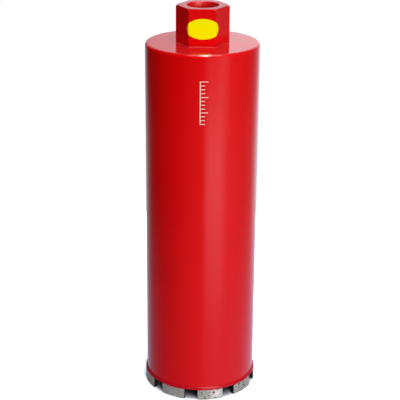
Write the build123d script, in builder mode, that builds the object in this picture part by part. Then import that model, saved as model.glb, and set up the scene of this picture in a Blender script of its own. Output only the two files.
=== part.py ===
from build123d import *
import os
from math import cos, radians, sin, sqrt, tan

# Diamond core bit for a wet drilling rig, standing on its segments.
# Millimetres, +Z up. The origin is on the axis, at the height of the cutting faces.
# One flat of the hexagonal hub faces -Y. Turns are in degrees about the axis, from -Y towards +X.

# Crown of segments
crown_diameter = 118.0
segment_count = 9
segment_thickness = 5.0
segment_height = 11.5
segment_arc = 26.3
segment_edge_chamfer = 0.4
first_segment_turn = 12.0

# Ring between the tube and the segments
ring_height = 3.5
ring_seat_depth = 2.5
ring_setback = 0.4
ring_shoulder_chamfer = 1.1
ring_lip_land = 0.2

# Tube
tube_relief = 1.85
tube_wall = 2.5
body_length = 370.0

# End plate
plate_thickness = 6.0
plate_rim_radius = 2.9
plate_spigot_length = 4.0

# Hub
hub_across_flats = 46.0
hub_height = 37.0
hub_corner_cut = 2.2
hub_corner_cut_angle = 30.0
hub_spigot_shoulder = 4.0
hub_mouth_chamfer = 0.4

# Female spindle thread, 1 1/4 in - 7 UNC, stated by its smooth minor bore
thread_major_diameter = 31.75
thread_pitch = 25.4 / 7
counterbore_clearance = 0.125
counterbore_depth = 8.0

# Oval sticker
label_width = 34.2
label_height = 20.6
label_thickness = 0.15
label_shift = 0.9
label_drop = 1.0

# Radial gap of the turned fits, filled by weld on the real bit
fit_clearance = 0.05

# Sizes that follow
crown_radius = crown_diameter / 2
segment_inner_radius = crown_radius - segment_thickness
segment_pitch = 360 / segment_count
tube_radius = crown_radius - tube_relief
tube_inner_radius = tube_radius - tube_wall
ring_radius = crown_radius - ring_setback
ring_lip_radius = tube_radius + fit_clearance
ring_seat_z = segment_height + ring_height - ring_seat_depth
ring_top_z = segment_height + ring_height
plate_seat_z = body_length - plate_thickness
plate_underside_z = plate_seat_z - plate_spigot_length
plate_spigot_radius = tube_inner_radius - fit_clearance
hub_top_z = body_length + hub_height
hub_corner_radius = hub_across_flats / sqrt(3)
hub_face_width = hub_corner_radius
hub_spigot_radius = hub_across_flats / 2 - hub_spigot_shoulder
thread_minor_radius = thread_major_diameter / 2 - 0.54127 * thread_pitch
counterbore_radius = thread_major_diameter / 2 + counterbore_clearance
label_centre_z = body_length + hub_height / 2 - label_drop

os.makedirs("parts", exist_ok=True)

# Sintered diamond segments, brazed under the ring with a water gap between each two
for number in range(segment_count):
    turn = first_segment_turn + number * segment_pitch
    start = turn - 90 - segment_arc / 2
    with BuildPart() as segment:
        with BuildSketch():
            with BuildLine():
                outer = CenterArc((0, 0), crown_radius, start, segment_arc)
                inner = CenterArc((0, 0), segment_inner_radius, start, segment_arc)
                Line(outer @ 0, inner @ 0)
                Line(outer @ 1, inner @ 1)
            make_face()
        extrude(amount=segment_height)
        chamfer(segment.edges().group_by(Axis.Z)[0], segment_edge_chamfer)
    segment.part.label = f"segment_{number + 1}"
    export_step(segment.part, f"parts/segment_{number + 1}.step")

# Turned ring: the tube stands in its rebate, the segments are brazed to its underside
with BuildPart() as crown_ring:
    with BuildSketch(Plane.XZ):
        with BuildLine():
            Polyline(
                (tube_inner_radius, segment_height),
                (ring_radius, segment_height),
                (ring_radius, ring_top_z),
                (ring_lip_radius, ring_top_z),
                (ring_lip_radius, ring_seat_z),
                (tube_inner_radius, ring_seat_z),
                close=True,
            )
        make_face()
    revolve(axis=Axis.Z)
    shoulder = crown_ring.edges().group_by(Axis.Z)[-1].sort_by(SortBy.RADIUS)[-1]
    lip_width = ring_radius - ring_lip_radius
    chamfer(shoulder, min(ring_shoulder_chamfer, lip_width - ring_lip_land))
crown_ring.part.label = "crown_ring"
export_step(crown_ring.part, "parts/crown_ring.step")

# Plain tube from the ring's rebate up to the end plate
with BuildPart() as barrel:
    with BuildSketch(Plane.XY.offset(ring_seat_z)):
        Circle(tube_radius)
        Circle(tube_inner_radius, mode=Mode.SUBTRACT)
    extrude(amount=plate_seat_z - ring_seat_z)
barrel.part.label = "barrel"
export_step(barrel.part, "parts/barrel.step")

# Plate on the tube's end, centred by a spigot inside the tube
with BuildPart() as end_plate:
    with BuildSketch(Plane.XY.offset(plate_seat_z)):
        Circle(tube_radius)
    extrude(amount=plate_thickness)
    fillet(end_plate.edges().group_by(Axis.Z)[-1], plate_rim_radius)
    with BuildSketch(Plane.XY.offset(plate_seat_z)):
        Circle(plate_spigot_radius)
    extrude(amount=-plate_spigot_length)
    with Locations((0, 0, body_length)):
        Hole(hub_spigot_radius + fit_clearance)
end_plate.part.label = "end_plate"
export_step(end_plate.part, "parts/end_plate.step")

# Hexagonal hub, its spigot through the plate, its bore open to the inside of the tube
with BuildPart() as hex_hub:
    with BuildSketch(Plane.XY.offset(body_length)):
        RegularPolygon(hub_across_flats / 2, 6, major_radius=False)
    extrude(amount=hub_height)
    cone_drop = hub_corner_cut * tan(radians(hub_corner_cut_angle))
    with BuildSketch(Plane.XZ):
        with BuildLine():
            Polyline(
                (0, body_length),
                (hub_corner_radius, body_length),
                (hub_corner_radius, hub_top_z - cone_drop),
                (hub_corner_radius - hub_corner_cut, hub_top_z),
                (0, hub_top_z),
                close=True,
            )
        make_face()
    revolve(axis=Axis.Z, mode=Mode.INTERSECT)
    with BuildSketch(Plane.XY.offset(body_length)):
        Circle(hub_spigot_radius)
    extrude(amount=plate_underside_z - body_length)
    with Locations((0, 0, hub_top_z)):
        CounterBoreHole(thread_minor_radius, counterbore_radius, counterbore_depth)
    mouth = hex_hub.edges().group_by(Axis.Z)[-1].filter_by(GeomType.CIRCLE).sort_by(SortBy.RADIUS)[0]
    chamfer(mouth, hub_mouth_chamfer)
hex_hub.part.label = "hex_hub"
export_step(hex_hub.part, "parts/hex_hub.step")

# Oval sticker, laid over the front face and bent round both of its corners, mitred at each bend
with BuildPart() as label:
    mitred_width = hub_face_width + 2 * label_thickness * tan(radians(30))
    for side in (-1, 0, 1):
        turn = radians(60 * side)
        outward = Vector(sin(turn), -cos(turn), 0)
        along = Vector(cos(turn), sin(turn), 0)
        foot = outward * (hub_across_flats / 2) + Vector(0, 0, label_centre_z)
        with BuildSketch(Plane(origin=foot, x_dir=along, z_dir=outward)):
            with Locations((label_shift - side * hub_face_width, 0)):
                Ellipse(label_width / 2, label_height / 2)
            Rectangle(mitred_width, label_height, mode=Mode.INTERSECT)
        extrude(amount=label_thickness)
label.part.label = "label"
export_step(label.part, "parts/label.step")
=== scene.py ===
# Diamond core bit for a wet rig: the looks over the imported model.
# Metres, +Z up. The bit stands on its segments and one flat of the hub faces -Y.
from math import cos, pi, radians, sin, tan

import bmesh
import bpy
from mathutils import Matrix, Vector, noise


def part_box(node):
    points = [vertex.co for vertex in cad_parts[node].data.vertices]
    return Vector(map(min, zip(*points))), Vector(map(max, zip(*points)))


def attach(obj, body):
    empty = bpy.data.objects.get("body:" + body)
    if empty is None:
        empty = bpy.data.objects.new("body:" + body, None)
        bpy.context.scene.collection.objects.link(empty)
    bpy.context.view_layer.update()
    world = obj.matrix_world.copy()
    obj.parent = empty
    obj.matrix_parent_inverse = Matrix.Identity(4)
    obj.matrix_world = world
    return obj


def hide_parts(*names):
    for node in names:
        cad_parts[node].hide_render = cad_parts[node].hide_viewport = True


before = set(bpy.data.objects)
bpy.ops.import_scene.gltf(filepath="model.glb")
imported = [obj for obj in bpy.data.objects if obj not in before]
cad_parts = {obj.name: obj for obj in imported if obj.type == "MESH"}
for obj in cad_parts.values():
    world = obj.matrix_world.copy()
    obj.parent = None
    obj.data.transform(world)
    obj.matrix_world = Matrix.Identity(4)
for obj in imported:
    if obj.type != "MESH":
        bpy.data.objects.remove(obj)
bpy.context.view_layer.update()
body = "root"
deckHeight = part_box("end_plate")[1].z       # top of the plate, where the hub stands
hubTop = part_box("hex_hub")[1].z
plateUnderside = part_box("end_plate")[0].z
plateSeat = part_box("barrel")[1].z           # the tube's upper end
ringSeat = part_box("barrel")[0].z            # the tube's lower end, in the ring's rebate
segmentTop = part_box("crown_ring")[0].z
crownRadius = 0.059                         # over the segments
tubeRadius = 0.05715
tubeInside = 0.05465
hair = 1e-4                                 # tolerance for picking vertices and faces by their place
print("frame loaded:", len(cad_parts), "nodes")


# Colours are written as sRGB hex and turned to linear here
def linearColour(hexValue):
    steps = [int(hexValue[i:i + 2], 16) / 255 for i in (0, 2, 4)]
    return [s / 12.92 if s <= 0.04045 else ((s + 0.055) / 1.055) ** 2.4 for s in steps] + [1.0]


# Adds a node: attributes by name, inputs by name or number, a socket as an input makes a link.
# A colour Mix has its factor at 0 and its colours at 6 and 7, and gives the result at 2.
def addNode(tree, kind, inputs=None, **attributes):
    node = tree.nodes.new(kind)
    for name, value in attributes.items():
        setattr(node, name, value)
    for name, value in (inputs or {}).items():
        if isinstance(value, bpy.types.NodeSocket):
            tree.links.new(value, node.inputs[name])
        else:
            node.inputs[name].default_value = value
    return node


def newMaterial(name):
    material = bpy.data.materials.new(name)
    material.use_nodes = True
    tree = material.node_tree
    tree.nodes.clear()
    return material, tree


# Small bmesh helpers
def spinProfile(points, steps, angle=2 * pi, climb=0.0):
    bm = bmesh.new()
    verts = [bm.verts.new((radius, 0, height)) for radius, height in points]
    edges = [bm.edges.new(pair) for pair in zip(verts, verts[1:] + verts[:1])]
    full = abs(angle - 2 * pi) < 1e-6 and climb == 0
    bmesh.ops.spin(bm, geom=verts + edges, cent=(0, 0, 0), axis=(0, 0, 1), dvec=(0, 0, climb),
                   angle=angle, steps=steps, use_merge=full)
    bmesh.ops.remove_doubles(bm, verts=bm.verts, dist=1e-6)
    bmesh.ops.recalc_face_normals(bm, faces=bm.faces)
    return bm


def edgesOn(bm, radius, height, near=2e-5):
    def lies(vert):
        return abs(vert.co.xy.length - radius) < near and abs(vert.co.z - height) < near

    return [edge for edge in bm.edges if all(lies(vert) for vert in edge.verts)]


def roundOver(bm, edges, width, segments):
    bmesh.ops.bevel(bm, geom=edges, offset=width, offset_type="OFFSET", segments=segments,
                    profile=0.5, affect="EDGES", clamp_overlap=True, material=-1)


# Cuts away all beyond a plane and gives the edges of the cut
def cutOff(bm, point, outward):
    cut = bmesh.ops.bisect_plane(bm, geom=bm.verts[:] + bm.edges[:] + bm.faces[:], dist=1e-7,
                                 plane_co=point, plane_no=outward, clear_outer=True)
    return [item for item in cut["geom_cut"] if isinstance(item, bmesh.types.BMEdge)]


# Gives a flat film its thickness
def thicken(bm, thickness):
    skin = bmesh.ops.extrude_face_region(bm, geom=bm.faces[:])
    raised = [item for item in skin["geom"] if isinstance(item, bmesh.types.BMVert)]
    bmesh.ops.translate(bm, verts=raised, vec=(0, 0, thickness))


# The wall round the core takes the piece's second material
def leaveRawInside(bm):
    for face in bm.faces:
        inward = face.calc_center_median().xy.length < tubeInside + hair
        face.material_index = 1 if inward else 0


def finishPiece(bm, name, materials, stands=(), sharp=40):
    mesh = bpy.data.meshes.new(name)
    bm.to_mesh(mesh)
    bm.free()
    for material in materials:
        mesh.materials.append(material)
    mesh.shade_smooth()
    mesh.set_sharp_from_angle(angle=radians(sharp))
    piece = bpy.data.objects.new(name, mesh)
    bpy.context.scene.collection.objects.link(piece)
    even = piece.modifiers.new("evenShading", "WEIGHTED_NORMAL")
    even.keep_sharp = True
    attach(piece, body)
    if stands:
        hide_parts(*stands)
    return piece


# Stoved gloss enamel over steel, sprayed: deep even red, a tight highlight, faint orange peel
enamelLook = {
    "colour": "da0305",
    "thinColour": "d00205",
    "mottle": 0.030,                # metres, patches of slightly thinner paint
    "peel": 0.0022,                 # metres, cell of the orange peel
    "peelDepth": 0.0001,
    "peelStrength": 0.12,
    "roughness": 0.09,
    "glossSpread": (0.85, 1.25),    # from the glossiest to the dullest patch, over the roughness
    "ior": 1.5,
    # Pale tint on upward faces: some real dust, some painted sheen for the grazing reflection
    "dustAndSheen": "c9b3ad",
    "dustAndSheenFrom": 0.9,                # how far a face has to look up to hold any dust and painted sheen
    "dustAndSheenShare": 0.024,
    "dustAndSheenRoughness": 0.13,
}


def sprayedEnamel(name, look):
    material, tree = newMaterial(name)
    place = addNode(tree, "ShaderNodeTexCoord")
    patches = addNode(tree, "ShaderNodeTexNoise",
                      {"Vector": place.outputs["Object"], "Scale": 1 / look["mottle"], "Detail": 3.0})
    colour = addNode(tree, "ShaderNodeMix",
                     {0: patches.outputs["Fac"], 6: linearColour(look["thinColour"]),
                      7: linearColour(look["colour"])}, data_type="RGBA")
    # Upward faces take the pale tint, dust and painted sheen
    facing = addNode(tree, "ShaderNodeNewGeometry")
    upright = addNode(tree, "ShaderNodeSeparateXYZ", {"Vector": facing.outputs["Normal"]})
    facingUp = addNode(tree, "ShaderNodeMapRange",
                      {"Value": upright.outputs["Z"], "From Min": look["dustAndSheenFrom"], "From Max": 1.0})
    dustAndSheenHaze = addNode(tree, "ShaderNodeMath", {0: facingUp.outputs["Result"], 1: look["dustAndSheenShare"]},
                   operation="MULTIPLY")
    dustyAndSheened = addNode(tree, "ShaderNodeMix",
                    {0: dustAndSheenHaze.outputs[0], 6: colour.outputs[2], 7: linearColour(look["dustAndSheen"])},
                    data_type="RGBA")
    glossiest, dullest = [look["roughness"] * share for share in look["glossSpread"]]
    gloss = addNode(tree, "ShaderNodeMapRange",
                    {"Value": patches.outputs["Fac"], "From Min": 0.3, "From Max": 0.7,
                     "To Min": glossiest, "To Max": dullest})
    duller = addNode(tree, "ShaderNodeMapRange",
                     {"Value": facingUp.outputs["Result"], "To Min": gloss.outputs["Result"],
                      "To Max": look["dustAndSheenRoughness"]})
    peel = addNode(tree, "ShaderNodeTexNoise",
                   {"Vector": place.outputs["Object"], "Scale": 1 / look["peel"], "Detail": 1.0})
    bump = addNode(tree, "ShaderNodeBump",
                   {"Height": peel.outputs["Fac"], "Strength": look["peelStrength"],
                    "Distance": look["peelDepth"]})
    shader = addNode(tree, "ShaderNodeBsdfPrincipled",
                     {"Base Color": dustyAndSheened.outputs[2], "Roughness": duller.outputs["Result"],
                      "IOR": look["ior"], "Normal": bump.outputs["Normal"]})
    addNode(tree, "ShaderNodeOutputMaterial", {"Surface": shader.outputs["BSDF"]})
    return material


enamel = sprayedEnamel("redEnamel", enamelLook)
# Dry overspray in the hub's mouth
thinEnamel = sprayedEnamel("thinRedEnamel", dict(enamelLook, roughness=0.40))
# A heavier coat that has run together over the ring; its darker, bluer colour is painted shade and
# painted reflection on the shoulder
ringShadedEnamel = sprayedEnamel("ringShadedRedEnamel", dict(enamelLook, colour="c20c1e", thinColour="bb0a1c",
                                                   roughness=0.13))

# Hot rolled tube left raw inside: blue-black mill scale, flaked to grey along the tube, a little rust
scaleLook = {
    "scale": "23262b",
    "bare": "57565a",
    "rust": "4a2c1c",
    "flake": 0.012,             # metres round the tube
    "drawn": 0.22,              # flakes are longer along the tube by 1 over this
    "stain": 0.02,              # metres, patches of rust
    "stainShare": 0.7,
    "grain": 0.0008,            # metres
    "grainDepth": 0.0002,
    "grainStrength": 0.35,
    "scaleRoughness": 0.62,
    "bareRoughness": 0.42,
    "metallic": 0.55,
}


def millScale(name, look):
    material, tree = newMaterial(name)
    place = addNode(tree, "ShaderNodeTexCoord")
    drawn = addNode(tree, "ShaderNodeMapping",
                    {"Vector": place.outputs["Object"], "Scale": (1, 1, look["drawn"])})
    flakes = addNode(tree, "ShaderNodeTexNoise",
                     {"Vector": drawn.outputs["Vector"], "Scale": 1 / look["flake"], "Detail": 5.0,
                      "Roughness": 0.6})
    flaked = addNode(tree, "ShaderNodeMapRange",
                     {"Value": flakes.outputs["Fac"], "From Min": 0.5, "From Max": 0.62})
    steel = addNode(tree, "ShaderNodeMix",
                    {0: flaked.outputs["Result"], 6: linearColour(look["scale"]),
                     7: linearColour(look["bare"])}, data_type="RGBA")
    stain = addNode(tree, "ShaderNodeTexNoise",
                    {"Vector": place.outputs["Object"], "Scale": 1 / look["stain"], "Detail": 4.0})
    stained = addNode(tree, "ShaderNodeMapRange",
                      {"Value": stain.outputs["Fac"], "From Min": 0.56, "From Max": 0.72,
                       "To Max": look["stainShare"]})
    colour = addNode(tree, "ShaderNodeMix",
                     {0: stained.outputs["Result"], 6: steel.outputs[2], 7: linearColour(look["rust"])},
                     data_type="RGBA")
    gloss = addNode(tree, "ShaderNodeMapRange",
                    {"Value": flaked.outputs["Result"], "To Min": look["scaleRoughness"],
                     "To Max": look["bareRoughness"]})
    grain = addNode(tree, "ShaderNodeTexNoise",
                    {"Vector": drawn.outputs["Vector"], "Scale": 1 / look["grain"], "Detail": 2.0})
    bump = addNode(tree, "ShaderNodeBump",
                   {"Height": grain.outputs["Fac"], "Strength": look["grainStrength"],
                    "Distance": look["grainDepth"]})
    shader = addNode(tree, "ShaderNodeBsdfPrincipled",
                     {"Base Color": colour.outputs[2], "Roughness": gloss.outputs["Result"],
                      "Metallic": look["metallic"], "Normal": bump.outputs["Normal"]})
    addNode(tree, "ShaderNodeOutputMaterial", {"Surface": shader.outputs["BSDF"]})
    return material


rawTube = millScale("millScaleSteel", scaleLook)

# Tapped steel: bright, with the fine rings that the tap leaves
tapLook = {
    "steel": "8d8b88",
    "soil": "55524e",
    "patch": 0.006,             # metres, patches of cutting oil and dirt
    "ring": 0.00035,            # metres from ring to ring
    "ringDepth": 0.00004,
    "ringStrength": 0.25,
    "metallic": 0.9,
    "roughness": 0.34,
}
waveLength = 0.314              # what Blender's wave texture repeats at, at scale 1


def tappedSteel(name, look):
    material, tree = newMaterial(name)
    place = addNode(tree, "ShaderNodeTexCoord")
    lines = addNode(tree, "ShaderNodeTexWave",
                    {"Vector": place.outputs["Object"], "Scale": waveLength / look["ring"],
                     "Distortion": 0.6, "Detail": 2.0}, bands_direction="Z")
    soil = addNode(tree, "ShaderNodeTexNoise",
                   {"Vector": place.outputs["Object"], "Scale": 1 / look["patch"], "Detail": 4.0})
    colour = addNode(tree, "ShaderNodeMix",
                     {0: soil.outputs["Fac"], 6: linearColour(look["steel"]),
                      7: linearColour(look["soil"])}, data_type="RGBA")
    bump = addNode(tree, "ShaderNodeBump",
                   {"Height": lines.outputs["Fac"], "Strength": look["ringStrength"],
                    "Distance": look["ringDepth"]})
    shader = addNode(tree, "ShaderNodeBsdfPrincipled",
                     {"Base Color": colour.outputs[2], "Metallic": look["metallic"],
                      "Roughness": look["roughness"], "Normal": bump.outputs["Normal"]})
    addNode(tree, "ShaderNodeOutputMaterial", {"Surface": shader.outputs["BSDF"]})
    return material


threadSteel = tappedSteel("tappedSteel", tapLook)

# Printed vinyl film: flat strong yellow under a semi-gloss face, a faint ripple from the paint below
vinylLook = {
    "colour": "ece700",
    "shade": "e8e200",
    "ripple": 0.004,            # metres
    "rippleDepth": 0.0001,
    "rippleStrength": 0.15,
    "roughness": 0.45,
    "ior": 1.45,
    "specular": 0.03,
}


def vinylFilm(name, look):
    material, tree = newMaterial(name)
    place = addNode(tree, "ShaderNodeTexCoord")
    ripple = addNode(tree, "ShaderNodeTexNoise",
                     {"Vector": place.outputs["Object"], "Scale": 1 / look["ripple"], "Detail": 2.0})
    colour = addNode(tree, "ShaderNodeMix",
                     {0: ripple.outputs["Fac"], 6: linearColour(look["shade"]),
                      7: linearColour(look["colour"])}, data_type="RGBA")
    bump = addNode(tree, "ShaderNodeBump",
                   {"Height": ripple.outputs["Fac"], "Strength": look["rippleStrength"],
                    "Distance": look["rippleDepth"]})
    shader = addNode(tree, "ShaderNodeBsdfPrincipled",
                     {"Base Color": colour.outputs[2], "Roughness": look["roughness"], "IOR": look["ior"],
                      "Specular IOR Level": look["specular"], "Normal": bump.outputs["Normal"]})
    addNode(tree, "ShaderNodeOutputMaterial", {"Surface": shader.outputs["BSDF"]})
    return material


yellowVinyl = vinylFilm("yellowVinyl", vinylLook)

# Pad-printed ink: a pale, slightly broken film
inkLook = {"colour": "ecd2c6", "worn": "e2a79a", "grain": 0.0011, "roughness": 0.38, "ior": 1.5}


def padInk(name, look):
    material, tree = newMaterial(name)
    place = addNode(tree, "ShaderNodeTexCoord")
    grain = addNode(tree, "ShaderNodeTexNoise",
                    {"Vector": place.outputs["Object"], "Scale": 1 / look["grain"], "Detail": 3.0})
    broken = addNode(tree, "ShaderNodeMapRange",
                     {"Value": grain.outputs["Fac"], "From Min": 0.5, "From Max": 0.68})
    colour = addNode(tree, "ShaderNodeMix",
                     {0: broken.outputs["Result"], 6: linearColour(look["colour"]),
                      7: linearColour(look["worn"])}, data_type="RGBA")
    shader = addNode(tree, "ShaderNodeBsdfPrincipled",
                     {"Base Color": colour.outputs[2], "Roughness": look["roughness"],
                      "IOR": look["ior"]})
    addNode(tree, "ShaderNodeOutputMaterial", {"Surface": shader.outputs["BSDF"]})
    return material


paleInk = padInk("padInk", inkLook)

# Sintered diamond matrix: pale warm grey metal powder, dressed on its outer face to a marbled gloss, with
# torn pits in painted shade, soot-dark where the mould left it and in painted shade towards the gaps, a
# painted highlight patch, and paint run over its upper edge
sinterLook = {
    "metal": "cfccc3",
    "dull": "a5a196",
    "smudge": "6f6b63",
    # colour of the painted highlight patch
    "bright": "f8f6f0",
    # painted shade in the torn pits
    "pitShade": "171514",
    # near black off the dressed face: mould skin, and painted shade towards the gaps and the core
    "mouldAndShade": "26262a",
    "diamond": "6d6f62",
    "grit": 0.0009,             # metres between diamonds
    "gritShare": 0.4,
    "cloud": 0.0026,            # metres along the arc, smears from dressing
    "flat": 2.4,                # smears are this much longer than they are tall
    "cloudDepth": 0.0003,
    "cloudStrength": 0.4,
    "wear": 0.0024,             # metres, smudges
    "wearShare": 0.5,
    "metallic": 0.4,
    "roughness": 0.42,
    "paint": "b80416",
    "paintRoughness": 0.2,
    "paintEdge": 0.0002,        # metres of paint below the ring
    "ragged": 0.003,            # metres, waves in the edges of paint, drops and stains
    "raggedHeight": 0.0016,
    # Spots: where they are, and about how large
    "drop": "a80c34",
    "drops": [((0.0159, -0.0568, 0.0082), 0.0014), ((0.0198, -0.0556, 0.0112), 0.0011)],
    "rust": "8a4a3c",
    "rustShare": 0.6,
    "stain": ((0.0032, -0.0589, 0.0059), 0.0010),
    "paintedHighlight": ((0.0192, -0.0558, 0.0060), 0.0100),       # painted highlight: a pale patch on one segment's face
    "paintedHighlightFade": 1.2,
}


def sinteredMatrix(name, look):
    material, tree = newMaterial(name)
    place = addNode(tree, "ShaderNodeTexCoord")
    flat = addNode(tree, "ShaderNodeMapping",
                   {"Vector": place.outputs["Object"], "Scale": (1, 1, look["flat"])})
    clouds = addNode(tree, "ShaderNodeTexNoise",
                     {"Vector": flat.outputs["Vector"], "Scale": 1 / look["cloud"], "Detail": 6.0,
                      "Roughness": 0.58, "Distortion": 0.6})
    marble = addNode(tree, "ShaderNodeMapRange",
                     {"Value": clouds.outputs["Fac"], "From Min": 0.38, "From Max": 0.6})
    metal = addNode(tree, "ShaderNodeMix",
                    {0: marble.outputs["Result"], 6: linearColour(look["dull"]),
                     7: linearColour(look["metal"])}, data_type="RGBA")
    wear = addNode(tree, "ShaderNodeTexNoise",
                   {"Vector": flat.outputs["Vector"], "Scale": 1 / look["wear"], "Detail": 3.0,
                    "Distortion": 0.4})
    worn = addNode(tree, "ShaderNodeMapRange",
                   {"Value": wear.outputs["Fac"], "From Min": 0.56, "From Max": 0.72,
                    "To Max": look["wearShare"]})
    smudged = addNode(tree, "ShaderNodeMix",
                      {0: worn.outputs["Result"], 6: metal.outputs[2], 7: linearColour(look["smudge"])},
                      data_type="RGBA")
    grit = addNode(tree, "ShaderNodeTexVoronoi",
                   {"Vector": place.outputs["Object"], "Scale": 1 / look["grit"]})
    crystal = addNode(tree, "ShaderNodeMapRange",
                      {"Value": grit.outputs["Distance"], "From Min": 0.2, "From Max": 0.3,
                       "To Min": look["gritShare"], "To Max": 0.0})
    gritty = addNode(tree, "ShaderNodeMix",
                     {0: crystal.outputs["Result"], 6: smudged.outputs[2],
                      7: linearColour(look["diamond"])}, data_type="RGBA")
    apart = addNode(tree, "ShaderNodeSeparateXYZ", {"Vector": place.outputs["Object"]})
    ragged = addNode(tree, "ShaderNodeTexNoise",
                     {"Vector": place.outputs["Object"], "Scale": 1 / look["ragged"], "Detail": 4.0})

    # A round spot with an edge that wanders, all in shares of its radius
    def spot(centre, radius, fade=0.25, wander=1.2, edge=1.7):
        away = addNode(tree, "ShaderNodeVectorMath", {0: place.outputs["Object"], 1: centre},
                       operation="DISTANCE")
        uneven = addNode(tree, "ShaderNodeMath",
                         {0: ragged.outputs["Fac"], 1: radius * wander, 2: away.outputs["Value"]},
                         operation="MULTIPLY_ADD")
        within = addNode(tree, "ShaderNodeMapRange",
                         {"Value": uneven.outputs[0], "From Min": radius * edge,
                          "From Max": radius * (edge - fade)})
        return within.outputs["Result"]

    # Painted highlight: a pale patch on one segment's face
    highlighted = addNode(tree, "ShaderNodeMix",
                    {0: spot(*look["paintedHighlight"], fade=look["paintedHighlightFade"]), 6: gritty.outputs[2],
                     7: linearColour(look["bright"])}, data_type="RGBA")
    # Ends, inside, top and foot go near black: mould skin, and painted shade where the gaps and the core
    # are dark
    mouldAndShade = addNode(tree, "ShaderNodeAttribute", attribute_name="mouldAndShade")
    sootyAndShaded = addNode(tree, "ShaderNodeMix",
                    {0: mouldAndShade.outputs["Fac"], 6: highlighted.outputs[2], 7: linearColour(look["mouldAndShade"])},
                    data_type="RGBA")
    # Painted shade: the torn pits are drawn near black
    pit = addNode(tree, "ShaderNodeAttribute", attribute_name="pit")
    torn = addNode(tree, "ShaderNodeMapRange",
                   {"Value": pit.outputs["Fac"], "From Min": 0.1, "From Max": 0.9})
    pitShaded = addNode(tree, "ShaderNodeMix",
                     {0: torn.outputs["Result"], 6: sootyAndShaded.outputs[2], 7: linearColour(look["pitShade"])},
                     data_type="RGBA")
    stained = addNode(tree, "ShaderNodeMath", {0: spot(*look["stain"]), 1: look["rustShare"]},
                      operation="MULTIPLY")
    rusty = addNode(tree, "ShaderNodeMix",
                    {0: stained.outputs[0], 6: pitShaded.outputs[2], 7: linearColour(look["rust"])},
                    data_type="RGBA")
    bump = addNode(tree, "ShaderNodeBump",
                   {"Height": clouds.outputs["Fac"], "Strength": look["cloudStrength"],
                    "Distance": look["cloudDepth"]})
    sinter = addNode(tree, "ShaderNodeBsdfPrincipled",
                     {"Base Color": rusty.outputs[2], "Metallic": look["metallic"],
                      "Roughness": look["roughness"], "Normal": bump.outputs["Normal"]})
    paintFoot = addNode(tree, "ShaderNodeMath",
                        {0: ragged.outputs["Fac"], 1: look["raggedHeight"], 2: apart.outputs["Z"]},
                        operation="MULTIPLY_ADD")
    paintHeight = segmentTop + look["raggedHeight"] / 2 - look["paintEdge"]
    painted = addNode(tree, "ShaderNodeMath", {0: paintFoot.outputs[0], 1: paintHeight},
                      operation="GREATER_THAN").outputs[0]
    colour = addNode(tree, "ShaderNodeMix",
                     {0: painted, 6: linearColour(look["drop"]), 7: linearColour(look["paint"])},
                     data_type="RGBA")
    for centre, radius in look["drops"]:
        painted = addNode(tree, "ShaderNodeMath", {0: painted, 1: spot(centre, radius)},
                          operation="MAXIMUM").outputs[0]
    paint = addNode(tree, "ShaderNodeBsdfPrincipled",
                    {"Base Color": colour.outputs[2], "Roughness": look["paintRoughness"], "IOR": 1.5})
    both = addNode(tree, "ShaderNodeMixShader",
                   {0: painted, 1: sinter.outputs["BSDF"], 2: paint.outputs["BSDF"]})
    addNode(tree, "ShaderNodeOutputMaterial", {"Surface": both.outputs["Shader"]})
    return material


sinter = sinteredMatrix("sinteredMatrix", sinterLook)
print("materials made")

# Tube: enamelled outside, raw inside
tubeShape = {"steps": 256}

bm = spinProfile([(tubeRadius, ringSeat), (tubeRadius, plateSeat), (tubeInside, plateSeat),
                  (tubeInside, ringSeat)], tubeShape["steps"])
leaveRawInside(bm)
finishPiece(bm, "tubeShell", [enamel, rawTube], ["barrel"])
print("tube made")

# End plate, its rim rounded over
plateShape = {
    "rim": (0.0029, 10),        # radius and segments
    "bore": 0.01905,            # round the hub's spigot
    "spigot": 0.0546,           # what sits inside the tube
    "steps": 256,
}

bm = spinProfile([(plateShape["bore"], plateUnderside), (plateShape["spigot"], plateUnderside),
                  (plateShape["spigot"], plateSeat), (tubeRadius, plateSeat),
                  (tubeRadius, deckHeight), (plateShape["bore"], deckHeight)], plateShape["steps"])
roundOver(bm, edgesOn(bm, tubeRadius, deckHeight), *plateShape["rim"])
for face in bm.faces:
    face.material_index = 1 if face.calc_center_median().z < plateSeat - hair else 0
endPlate = finishPiece(bm, "endPlate", [enamel, rawTube], ["end_plate"])
print("end plate made")

# Hub: a hexagon with its top corners turned off and a counterbored mouth
hubShape = {
    "flat": 0.023,              # half the size across flats
    "blank": 0.030,             # radius of the round bar that the flats are cut from
    "cornerCut": 0.0022,
    "cutSlope": radians(30),
    "counterbore": 0.016,
    "counterboreDepth": 0.008,
    "mouthCut": 0.0004,
    "threadMajor": 0.015875,
    "spigot": 0.019,
    "sharp": radians(25),       # edges that turn by more are softened
    "softEdge": (0.00035, 3),   # radius and segments
    "steps": 180,
}
hubCorner = hubShape["flat"] / cos(pi / 6)
cutInside = hubCorner - hubShape["cornerCut"]       # where the turned corners meet the top
stepDown = hubTop - hubShape["counterboreDepth"]    # where the counterbore ends and the thread starts

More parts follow.
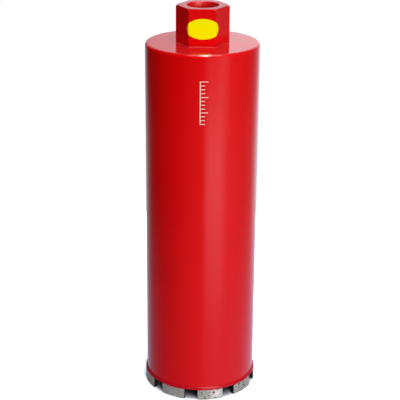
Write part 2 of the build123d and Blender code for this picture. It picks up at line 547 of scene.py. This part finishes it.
bm = spinProfile([
    (hubShape["blank"], deckHeight),
    (hubShape["blank"], hubTop - (hubShape["blank"] - cutInside) * tan(hubShape["cutSlope"])),
    (cutInside, hubTop),
    (hubShape["counterbore"] + hubShape["mouthCut"], hubTop),
    (hubShape["counterbore"], hubTop - hubShape["mouthCut"]),
    (hubShape["counterbore"], stepDown),
    (hubShape["threadMajor"], stepDown),
    (hubShape["threadMajor"], plateUnderside),
    (hubShape["spigot"], plateUnderside),
    (hubShape["spigot"], deckHeight),
], hubShape["steps"])
for side in range(6):
    outward = Vector((sin(side * pi / 3), -cos(side * pi / 3), 0))
    bmesh.ops.contextual_create(bm, geom=cutOff(bm, outward * hubShape["flat"], outward))
bmesh.ops.remove_doubles(bm, verts=bm.verts, dist=2e-6)
bmesh.ops.recalc_face_normals(bm, faces=bm.faces)
corners = [e for e in bm.edges if e.calc_face_angle(0) > hubShape["sharp"]
           and min(v.co.z for v in e.verts) > deckHeight - hair
           and max(v.co.z for v in e.verts) > deckHeight + hair
           and max(v.co.xy.length for v in e.verts) > hubShape["flat"] - hair]
roundOver(bm, corners, *hubShape["softEdge"])
for face in bm.faces:
    middle = face.calc_center_median()
    if middle.z < stepDown - hair and middle.xy.length < hubShape["spigot"] + hair:
        face.material_index = 1
finishPiece(bm, "hexHub", [enamel, threadSteel], ["hex_hub"])

# Thin coat on the counterbore's wall
coatShape = {"inside": 0.01595, "outside": 0.01599, "clear": 0.00002, "steps": 180}

coatFoot = stepDown + coatShape["clear"]
coatTop = hubTop - hubShape["mouthCut"]
bm = spinProfile([(coatShape["inside"], coatFoot), (coatShape["outside"], coatFoot),
                  (coatShape["outside"], coatTop), (coatShape["inside"], coatTop)], coatShape["steps"])
mouthCoat = finishPiece(bm, "mouthCoat", [thinEnamel])

# Bead of paint where the hub meets the plate
beadShape = {
    "reach": 0.0006,
    # In reaches, out from the hub and up from the plate
    "profile": ((-0.3, 0.0), (1.0, 0.0), (0.45, 0.12), (0.14, 0.42), (0.0, 1.0), (-0.3, 1.0)),
    "clear": 0.00002,
    "corner": (0.0007, 3),      # radius and segments
}

bm = spinProfile([(hubCorner + out * beadShape["reach"] / cos(pi / 6),
                   deckHeight + beadShape["clear"] + up * beadShape["reach"])
                  for out, up in beadShape["profile"]], 6)
cornerEdges = [e for e in bm.edges if abs(e.verts[0].co.xy.cross(e.verts[1].co.xy)) < 1e-9]
roundOver(bm, cornerEdges, *beadShape["corner"])
finishPiece(bm, "hubPaintBead", [enamel], sharp=80)
print("hub made")

# Spindle thread: 1 1/4 in, 7 turns to the inch, 60 degrees
threadShape = {
    "pitch": 0.0254 / 7,
    "major": 0.015875,
    "minor": 0.013911,
    "rootHalf": 7 / 16,         # half widths of the ridge at the wall and at its crest, in pitches
    "crestHalf": 1 / 8,
    "sunk": 0.00005,            # how far the ridge runs into the wall
    "spare": 0.75,              # turns made past each end, then cut off
    "clear": 0.00001,
    "stepsPerTurn": 48,
}

pitch = threadShape["pitch"]
turns = (stepDown - plateUnderside) / pitch + 2 * threadShape["spare"]
steps = round(turns * threadShape["stepsPerTurn"])
low = plateUnderside - threadShape["spare"] * pitch
root, crest = pitch * threadShape["rootHalf"], pitch * threadShape["crestHalf"]
wall = threadShape["major"] + threadShape["sunk"]
bm = spinProfile([(wall, low - root), (threadShape["minor"], low - crest),
                  (threadShape["minor"], low + crest), (wall, low + root)],
                 steps, steps * 2 * pi / threadShape["stepsPerTurn"], pitch / threadShape["stepsPerTurn"])
for height, up in ((stepDown - threadShape["clear"], 1), (plateUnderside + threadShape["clear"], -1)):
    bmesh.ops.edgeloop_fill(bm, edges=cutOff(bm, (0, 0, height), (0, 0, up)))
bmesh.ops.recalc_face_normals(bm, faces=bm.faces)
finishPiece(bm, "spindleThread", [threadSteel], sharp=25)
print("thread made")

# Crown ring: the paint lies over its shoulder as a hollow below the tube and a rounded lip
ringShape = {
    "out": 0.0017,                  # the lip past the tube
    "hollow": 0.0031,               # height of the hollow's corner over the segments
    "brow": 0.0014,                 # height of the lip's upper corner
    "hollowRound": (0.0008, 5),     # radius and segments
    "browRound": (0.0008, 7),
    "footRound": (0.0004, 3),
    "coat": 0.00003,                # paint past the tube above the hollow
    "uneven": 0.0003,               # past the tube, where the paint starts to be uneven
    "swell": 0.00010,               # outwards
    "swellsPerMetre": 220,
    "sag": 0.00022,                 # up and down
    "sagsPerMetre": 180,
    "steps": 360,
}
ringLip = tubeRadius + ringShape["out"]
ringWall = tubeRadius + ringShape["coat"]
hollowHeight = segmentTop + ringShape["hollow"]
browHeight = segmentTop + ringShape["brow"]

bm = spinProfile([(tubeInside, segmentTop), (ringLip, segmentTop), (ringLip, browHeight),
                  (ringWall, hollowHeight), (ringWall, ringSeat), (tubeInside, ringSeat)],
                 ringShape["steps"])
roundOver(bm, edgesOn(bm, ringWall, hollowHeight), *ringShape["hollowRound"])
roundOver(bm, edgesOn(bm, ringLip, browHeight), *ringShape["browRound"])
roundOver(bm, edgesOn(bm, ringLip, segmentTop), *ringShape["footRound"])
leaveRawInside(bm)
for vert in bm.verts:
    if vert.co.xy.length > tubeRadius + ringShape["uneven"]:
        swell = noise.noise(vert.co * ringShape["swellsPerMetre"]) * ringShape["swell"]
        vert.co += Vector((vert.co.x, vert.co.y, 0)).normalized() * swell
        vert.co.z += noise.noise(vert.co * ringShape["sagsPerMetre"]) * ringShape["sag"]
crownRing = finishPiece(bm, "crownRing", [ringShadedEnamel, rawTube], ["crown_ring"], sharp=60)
print("crown ring made")

# Diamond segments: arcs with rounded edges, torn pits and a fine grain
segmentShape = {
    "arc": radians(26.3),
    "pitch": radians(40),
    "first": radians(12),           # turn of segment_1 from -Y towards +X
    "inside": 0.054,
    "cuts": (96, 8, 42),            # along the arc, through, up
    "sharp": radians(60),           # edges that turn by more are rounded over
    "edge": (0.0004, 2),            # radius and segments
    "tear": (0.0021, 0.002, 0.0011),        # size of torn pits: along the arc, through, up
    "tearDepth": 0.00035,
    "tearSlope": 0.2,               # how softly a pit begins
    "tearLevel": (0.62, 0.56, 0.40, 0.44, 0.42, 0.46, 0.40, 0.60, 0.64),    # higher means fewer pits
    "fineTear": (2.7, 0.35),        # smaller pits in them: how many times smaller, and their share
    "nextPattern": 7.3,             # shifts the pits from segment to segment
    # Larger tears on single segments: along the arc from the middle, up, half length, share of the depth
    "tears": {
        1: [(-0.0017, 0.0050, 0.0015, 1.0), (-0.0055, 0.0020, 0.0019, 0.8),
            (0.0055, 0.0013, 0.0022, 0.8), (0.0006, 0.0038, 0.0010, 0.6),
            (-0.0010, 0.0083, 0.0018, 0.6), (-0.0085, 0.0085, 0.0016, 0.6)],
        2: [(-0.0055, 0.0097, 0.0021, 1.0), (-0.0058, 0.0058, 0.0017, 0.9),
            (0.0005, 0.0088, 0.0018, 0.8), (0.0020, 0.0050, 0.0026, 0.8)],
        9: [(-0.0040, 0.0042, 0.0014, 0.35), (0.0052, 0.0020, 0.0012, 0.3)],
    },
    "largeHeight": 0.55,            # height of a larger tear over its length
    "largeSlope": 0.6,
    "largeRagged": (1.9, 0.45),     # waves in its edge: how many times smaller, and their share
    "dressedPast": 1.4,             # how far the dressing runs over the outer face's edges
    "hiddenPit": 0.35,              # how dark a pit is where nothing was dressed
    "grain": 0.00006,
    "grainsPerMetre": 1100,
}


def clamp(value):
    return min(max(value, 0), 1)


def makeSegment(number, shape):
    bm = bmesh.new()
    middleRadius = (crownRadius + shape["inside"]) / 2
    span = middleRadius * shape["arc"]
    bmesh.ops.create_cube(bm, size=1)
    bmesh.ops.scale(bm, verts=bm.verts, vec=(span, crownRadius - shape["inside"], segmentTop))
    bmesh.ops.translate(bm, verts=bm.verts, vec=(0, -middleRadius, segmentTop / 2))
    for axis, cuts in enumerate(shape["cuts"]):
        along = [e for e in bm.edges if abs((e.verts[0].co - e.verts[1].co).normalized()[axis]) > 0.9]
        bmesh.ops.subdivide_edges(bm, edges=along, cuts=cuts, use_grid_fill=True)
    square = [e for e in bm.edges if e.calc_face_angle(0) > shape["sharp"]]
    roundOver(bm, square, *shape["edge"])
    bmesh.ops.recalc_face_normals(bm, faces=bm.faces)
    bm.normal_update()
    pits = bm.verts.layers.float.new("pit")         # both are read by the sintered matrix
    mouldedAndShaded = bm.verts.layers.float.new("mouldAndShade")
    level = shape["tearLevel"][number - 1]
    finer, fineShare = shape["fineTear"]
    wavier, waveShare = shape["largeRagged"]
    turn = shape["first"] + (number - 1) * shape["pitch"]
    for vert in bm.verts:
        place = Vector([there / size for there, size in zip(vert.co, shape["tear"])])
        place += Vector((0, 0, number * shape["nextPattern"]))
        tear = noise.noise(place) + fineShare * noise.noise(place * finer)
        depth = clamp((tear - level) / shape["tearSlope"])
        for along, up, reach, share in shape["tears"].get(number, ()):
            tall = reach * shape["largeHeight"]
            away = Vector(((vert.co.x - along) / reach, (vert.co.z - up) / tall))
            ragged = away.length + waveShare * noise.noise(place * wavier)
            depth = max(depth, share * clamp((1 - ragged) / shape["largeSlope"]))
        dressed = clamp(-vert.normal.y * shape["dressedPast"])      # 0 on the ends and inside
        vert[pits] = depth * (shape["hiddenPit"] + (1 - shape["hiddenPit"]) * dressed)
        # Mould mask, also painted shade: 1 on the ends, inside, top and foot
        vert[mouldedAndShaded] = 1 - dressed
        rough = 0.5 + 0.5 * noise.noise(vert.co * shape["grainsPerMetre"])
        vert.co -= vert.normal * (depth * shape["tearDepth"] + rough * shape["grain"])
    # Bent round and turned to its place
    for vert in bm.verts:
        angle = vert.co.x / middleRadius + turn
        vert.co = Vector((-vert.co.y * sin(angle), vert.co.y * cos(angle), vert.co.z))
    return finishPiece(bm, f"diamondSegment{number}", [sinter], [f"segment_{number}"])


segments = [makeSegment(number, segmentShape) for number in range(1, 10)]
print("segments made")

# Oval sticker, laid over the front flat and bent round its corners
stickerShape = {
    "width": 0.0336,
    "height": 0.0202,
    "thickness": 0.00015,
    "shift": 0.0009,            # towards +X from the middle of the flat
    "drop": 0.001,              # below the hub's middle
    "bend": 0.0009,             # radius at the hub's corners
    "bendCuts": (-1, -0.6, -0.2, 0.2, 0.6, 1),
    "lift": 0.00001,
    "segments": 128,
}

bm = bmesh.new()
bmesh.ops.create_circle(bm, cap_ends=True, segments=stickerShape["segments"], radius=0.5)
bmesh.ops.scale(bm, verts=bm.verts, vec=(stickerShape["width"], stickerShape["height"], 1))
bmesh.ops.translate(bm, verts=bm.verts, vec=(stickerShape["shift"], 0, 0))
half = hubCorner / 2
bend = stickerShape["bend"]
tangent = bend * tan(pi / 6)
for side in (-1, 1):
    for part in stickerShape["bendCuts"]:
        bmesh.ops.bisect_plane(bm, geom=bm.verts[:] + bm.edges[:] + bm.faces[:], dist=1e-7,
                               plane_co=(side * (half + part * tangent), 0, 0), plane_no=(1, 0, 0))
thicken(bm, stickerShape["thickness"])
middleHeight = (deckHeight + hubTop) / 2 - stickerShape["drop"]
for vert in bm.verts:
    along = abs(vert.co.x)
    side = 1 if vert.co.x > 0 else -1
    proud = vert.co.z + stickerShape["lift"]
    angle = clamp((along - (half - tangent)) / (2 * tangent)) * pi / 3
    straight = min(along, half - tangent)
    beyond = max(along - (half + tangent), 0)
    x = straight + (bend + proud) * sin(angle) + beyond * cos(angle)
    y = -(hubShape["flat"] - bend) - (bend + proud) * cos(angle) + beyond * sin(angle)
    vert.co = Vector((side * x, y, middleHeight + vert.co.y))
bmesh.ops.recalc_face_normals(bm, faces=bm.faces)
finishPiece(bm, "ovalSticker", [yellowVinyl], ["label"])
print("sticker made")

# Printed ticks on the tube, plain, in one column
tickShape = {
    "centre": radians(2.8),     # turn from -Y towards +X
    "left": -0.0040,
    "low": 0.3015,
    "high": 0.3445,
    "count": 12,
    "short": 0.0042,
    "long": 0.0072,
    "longEvery": 4,
    "stroke": 0.0008,
    "spine": 0.0009,
    "film": 0.00003,
    "clear": 0.00001,
}


# The patch has a few columns, to bend round the tube
def printPatch(bm, left, right, low, high, columns=8):
    grid = bmesh.ops.create_grid(bm, x_segments=columns, y_segments=1, size=0.5)["verts"]
    bmesh.ops.scale(bm, verts=grid, vec=(right - left, high - low, 1))
    bmesh.ops.translate(bm, verts=grid, vec=((left + right) / 2, (low + high) / 2, 0))


bm = bmesh.new()
start = tickShape["left"] + tickShape["spine"]
printPatch(bm, tickShape["left"], start, tickShape["low"], tickShape["high"])
gap = (tickShape["high"] - tickShape["low"] - tickShape["stroke"]) / (tickShape["count"] - 1)
for index in range(tickShape["count"]):
    reach = tickShape["short"] if (index + 1) % tickShape["longEvery"] else tickShape["long"]
    foot = tickShape["low"] + index * gap
    printPatch(bm, start, start + reach, foot, foot + tickShape["stroke"])
thicken(bm, tickShape["film"])
for vert in bm.verts:
    angle = vert.co.x / tubeRadius + tickShape["centre"]
    radius = tubeRadius + tickShape["clear"] + vert.co.z
    vert.co = Vector((radius * sin(angle), -radius * cos(angle), vert.co.y))
bmesh.ops.recalc_face_normals(bm, faces=bm.faces)
finishPiece(bm, "printedTicks", [paleInk])
print("ticks made")

# Weld under the plate, round the hub's spigot, left bare
weldShape = {
    "radius": 0.01902,
    "size": 0.0016,
    "profile": ((-1, 0), (-0.6, -0.5), (0, -0.7), (0.6, -0.5), (1, 0)),     # in sizes
    "ripples": 55,              # once round
    "rippleDepth": 0.00012,
    "grain": 0.0001,
    "grainsPerMetre": 400,
    "steps": 300,
}

bm = spinProfile([(weldShape["radius"] + out * weldShape["size"], plateUnderside + up * weldShape["size"])
                  for out, up in weldShape["profile"]], weldShape["steps"])
for vert in bm.verts:
    if vert.co.z < plateUnderside - hair:
        angle = Vector((0, -1)).angle_signed(vert.co.xy)
        vert.co.z += (weldShape["rippleDepth"] * sin(angle * weldShape["ripples"])
                      + weldShape["grain"] * noise.noise(vert.co * weldShape["grainsPerMetre"]))
finishPiece(bm, "plateWeld", [threadSteel], sharp=60)
print("weld made")

# Studio: a white room with soft lamps and a paper floor
studio = {
    "ambient": 0.24,
    "ambientColour": (0.96, 0.98, 1.0, 1),
    "brightest": 1.5,                       # of what gloss sees
    "toMiddle": (-0.245, -0.31),            # how far down it looks where one band turns into the next
    "toLow": (-0.345, -0.46),
    "upperTint": (0.98, 1.0, 1.1, 1),
    "lowTint": (0.9, 1.0, 1.4, 1),
    "floorRadius": 0.5,
    "floorSegments": 128,
    "floorDrop": 0.00002,
    "paperLit": (0.5, 0.52, 0.56, 1),       # what the floor throws back on the bit
    "paperSeen": (2.5, 2.65, 2.95, 1),      # what the camera sees of it
    "paperShade": [(0.040, 0.02), (0.046, 0.05), (0.050, 0.17), (0.054, 0.42), (0.058, 0.68),
                   (0.062, 0.9), (0.066, 1.0)],     # metres from the bit's axis, and brightness
    "glossFrom": 0.0625,                    # gloss sees the room instead of the floor beyond this
    "lampAim": 0.22,
}
# Each lamp: watts, size, turn from -Y towards +X, rise, distance, what it shows in, metres aside
lamps = {
    "keyLamp": (12.6, (0.9, 0.5), 24, 9, 1.3, "diffuse"),
    "topLamp": (6.5, (0.9, 0.6), 15, 78, 1.2, "both"),
    "backLamp": (8.0, (0.7, 0.6), 180, 4, 1.3, "diffuse"),
    "deckLamp": (0.95, (0.5, 0.5), 0, 80, 1.0, "diffuse"),
    "rimGlintBack": (5.3, (0.09, 1.2), 184.5, 75, 0.776, "gloss", -0.037),
    "rimGlintFront": (3.0, (0.2, 0.5), 4.5, 65, 0.828, "gloss", 0.037),
    "backPanel": (0.1, (0.34, 0.3), 161, 27, 0.593, "gloss"),
    "edgeGlint": (8.0, (0.8, 0.5), 34, 12, 1.3, "gloss"),
    "mouthLamp": (8.5, (0.5, 0.4), 16, 21, 1.3, "diffuse"),
    "mouthGlint": (40.0, (0.25, 0.4), 32, 11, 1.3, "gloss"),
    "shoulderGlint": (1.6, (0.5, 0.5), 29, 50, 1.2, "gloss"),
}
# Lamps that serve only some pieces
lampServes = {
    "deckLamp": [endPlate],
    "rimGlintBack": [endPlate],
    "rimGlintFront": [endPlate],
    "backPanel": [endPlate],
    "edgeGlint": segments,
    "mouthLamp": [mouthCoat],
    "mouthGlint": [mouthCoat],
    "shoulderGlint": [crownRing],
}
# What gloss sees round the bit, in three bands: brightness by turn from -Y towards +X, in degrees
surround = {
    "high": [(-180, 0.85), (-176, 0.76), (-166, 0.6), (-154, 0.44), (-145, 0.25), (-137, 0.04),
             (-121, 0.01), (-40, 0.01), (-19, 0.05), (1, 0.05), (11, 0.24), (17, 0.4), (26, 0.4),
             (34, 0.5), (42, 0.7), (52, 0.6), (62, 0.18), (83, 0.15), (103, 0.12), (123, 0.18),
             (140, 0.46), (148, 0.83), (156, 0.93), (176, 1.0), (180, 0.85)],
    "middle": [(-180, 0.85), (-162, 0.6), (-154, 0.58), (-145, 0.48), (-137, 0.3), (-121, 0.07),
               (-101, 0.02), (-60, 0.03), (-40, 0.06), (-19, 0.12), (1, 0.17), (6, 0.35), (11, 0.9),
               (17, 1.3), (26, 1.3), (34, 1.45), (42, 1.15), (52, 0.6), (62, 0.36), (83, 0.25),
               (103, 0.22), (123, 0.32), (140, 0.9), (148, 1.1), (156, 1.1), (180, 0.85)],
    "low": [(-180, 0.7), (-162, 0.65), (-154, 0.54), (-145, 0.48), (-137, 0.43), (-121, 0.28),
            (-101, 0.18), (-81, 0.12), (-60, 0.12), (-40, 0.15), (-19, 0.18), (1, 0.22), (11, 0.33),
            (26, 0.41), (42, 0.43), (62, 0.39), (83, 0.42), (103, 0.47), (123, 0.62), (140, 0.71),
            (156, 0.78), (164, 0.9), (180, 0.8)],
}


def setStops(ramp, stops):
    while len(ramp.color_ramp.elements) > 1:
        ramp.color_ramp.elements.remove(ramp.color_ramp.elements[-1])
    for index, (where, bright) in enumerate(stops):
        stop = ramp.color_ramp.elements.new(where) if index else ramp.color_ramp.elements[0]
        stop.position = where
        stop.color = [bright] * 3 + [1]


def surroundRamp(tree, share, stops):
    ramp = addNode(tree, "ShaderNodeValToRGB", {"Fac": share})
    setStops(ramp, [(degrees / 360 + 0.5, bright / studio["brightest"]) for degrees, bright in stops])
    return ramp.outputs["Color"]


def surroundGlow(tree, direction):
    apart = addNode(tree, "ShaderNodeSeparateXYZ", {"Vector": direction})
    back = addNode(tree, "ShaderNodeMath", {0: apart.outputs["Y"], 1: -1.0}, operation="MULTIPLY")
    turn = addNode(tree, "ShaderNodeMath", {0: apart.outputs["X"], 1: back.outputs[0]},
                   operation="ARCTAN2")
    share = addNode(tree, "ShaderNodeMapRange",
                    {"Value": turn.outputs[0], "From Min": -pi, "From Max": pi}).outputs["Result"]
    toMiddle, toLow = [addNode(tree, "ShaderNodeMapRange",
                               {"Value": apart.outputs["Z"], "From Min": above, "From Max": below})
                       for above, below in (studio["toMiddle"], studio["toLow"])]
    upper = addNode(tree, "ShaderNodeMix",
                    {0: toMiddle.outputs["Result"], 6: surroundRamp(tree, share, surround["high"]),
                     7: surroundRamp(tree, share, surround["middle"])}, data_type="RGBA")
    whole = addNode(tree, "ShaderNodeMix",
                    {0: toLow.outputs["Result"], 6: upper.outputs[2],
                     7: surroundRamp(tree, share, surround["low"])}, data_type="RGBA")
    tint = addNode(tree, "ShaderNodeMix",
                   {0: toLow.outputs["Result"], 6: studio["upperTint"], 7: studio["lowTint"]},
                   data_type="RGBA")
    glow = addNode(tree, "ShaderNodeMix", {0: 1.0, 6: whole.outputs[2], 7: tint.outputs[2]},
                   data_type="RGBA", blend_type="MULTIPLY")
    return glow.outputs[2]


world = bpy.data.worlds.new("softRoom")
bpy.context.scene.world = world
world.use_nodes = True
tree = world.node_tree
tree.nodes.clear()
path = addNode(tree, "ShaderNodeLightPath")
around = addNode(tree, "ShaderNodeTexCoord")
glow = surroundGlow(tree, around.outputs["Generated"])
ambient = addNode(tree, "ShaderNodeBackground",
                  {"Color": studio["ambientColour"], "Strength": studio["ambient"]})
mirrored = addNode(tree, "ShaderNodeBackground", {"Color": glow, "Strength": studio["brightest"]})
white = addNode(tree, "ShaderNodeBackground", {"Color": (1, 1, 1, 1), "Strength": 1.0})
glossy = addNode(tree, "ShaderNodeMixShader",
                 {0: path.outputs["Is Glossy Ray"], 1: ambient.outputs[0], 2: mirrored.outputs[0]})
seen = addNode(tree, "ShaderNodeMath",
               {0: path.outputs["Is Camera Ray"], 1: path.outputs["Is Transmission Ray"]},
               operation="MAXIMUM")
backdrop = addNode(tree, "ShaderNodeMixShader",
                   {0: seen.outputs[0], 1: glossy.outputs[0], 2: white.outputs[0]})
addNode(tree, "ShaderNodeOutputWorld", {"Surface": backdrop.outputs[0]})

# Plain pale paper floor, white where nothing shades it, in deep shade under the bit, clear from below
material, tree = newMaterial("paperFloor")
path = addNode(tree, "ShaderNodeLightPath")
place = addNode(tree, "ShaderNodeTexCoord")
seen = addNode(tree, "ShaderNodeMath",
               {0: path.outputs["Is Camera Ray"], 1: path.outputs["Is Transmission Ray"]},
               operation="MAXIMUM")
paper = addNode(tree, "ShaderNodeMix",
                {0: seen.outputs[0], 6: studio["paperLit"], 7: studio["paperSeen"]}, data_type="RGBA")
reach = addNode(tree, "ShaderNodeVectorMath", {0: place.outputs["Object"]}, operation="LENGTH")
shade = addNode(tree, "ShaderNodeValToRGB", {"Fac": reach.outputs["Value"]})
setStops(shade, studio["paperShade"])
shaded = addNode(tree, "ShaderNodeVectorMath",
                 {0: paper.outputs[2], "Scale": shade.outputs["Color"]}, operation="SCALE")
matt = addNode(tree, "ShaderNodeBsdfDiffuse", {"Color": shaded.outputs["Vector"]})
outside = addNode(tree, "ShaderNodeMath", {0: reach.outputs["Value"], 1: studio["glossFrom"]},
                  operation="GREATER_THAN")
passed = addNode(tree, "ShaderNodeMath", {0: outside.outputs[0], 1: path.outputs["Is Glossy Ray"]},
                 operation="MULTIPLY")
sides = addNode(tree, "ShaderNodeNewGeometry")
through = addNode(tree, "ShaderNodeMath", {0: passed.outputs[0], 1: sides.outputs["Backfacing"]},
                  operation="MAXIMUM")
clear = addNode(tree, "ShaderNodeBsdfTransparent")
surface = addNode(tree, "ShaderNodeMixShader",
                  {0: through.outputs[0], 1: matt.outputs[0], 2: clear.outputs[0]})
addNode(tree, "ShaderNodeOutputMaterial", {"Surface": surface.outputs[0]})
bm = bmesh.new()
bmesh.ops.create_circle(bm, cap_ends=True, segments=studio["floorSegments"], radius=studio["floorRadius"])
mesh = bpy.data.meshes.new("floor")
bm.to_mesh(mesh)
bm.free()
mesh.materials.append(material)
floor = bpy.data.objects.new("floor", mesh)
bpy.context.scene.collection.objects.link(floor)
floor.location.z = -studio["floorDrop"]


def softLamp(name, watts, size, turn, rise, far, shows, aside=0.0):
    data = bpy.data.lights.new(name, "AREA")
    data.energy = watts
    data.shape = "ELLIPSE"
    data.size = size[0]
    data.size_y = size[1]
    lamp = bpy.data.objects.new(name, data)
    turn, rise = radians(turn), radians(rise)
    toward = Vector((sin(turn) * cos(rise), -cos(turn) * cos(rise), sin(rise)))
    sideways = Vector((cos(turn), sin(turn), 0))
    lamp.location = Vector((0, 0, studio["lampAim"])) + toward * far + sideways * aside
    lamp.rotation_euler = toward.to_track_quat("Z", "Y").to_euler()
    lamp.visible_diffuse = shows != "gloss"
    lamp.visible_glossy = shows != "diffuse"
    lamp.visible_camera = False
    bpy.context.scene.collection.objects.link(lamp)
    return lamp


for name, settings in lamps.items():
    lamp = softLamp(name, *settings)
    if name in lampServes:
        served = bpy.data.collections.new(name + "Serves")
        for piece in lampServes[name]:
            served.objects.link(piece)
        lamp.light_linking.receiver_collection = served
print("studio made")

# Camera: a long lens, a little above the bit
view = {
    "lens": 108.8,
    "sensor": 36,
    "turn": radians(1.05),
    "rise": radians(20.558),
    "roll": radians(0.456),
    "far": 1.25574,
    "side": -0.00126,
    "aim": 0.202509,
}

cameraData = bpy.data.cameras.new("camera")
cameraData.lens = view["lens"]
cameraData.sensor_width = view["sensor"]
camera = bpy.data.objects.new("camera", cameraData)
turned = Matrix.Rotation(view["turn"], 4, "Z")
stand = turned @ Vector((view["side"], -cos(view["rise"]) * view["far"],
                         view["aim"] + sin(view["rise"]) * view["far"]))
tilted = Matrix.Rotation(pi / 2 - view["rise"], 4, "X") @ Matrix.Rotation(view["roll"], 4, "Z")
camera.matrix_world = Matrix.Translation(stand) @ turned @ tilted
bpy.context.scene.collection.objects.link(camera)
bpy.context.scene.camera = camera
bpy.context.scene.view_settings.view_transform = "Standard"
print("camera set")
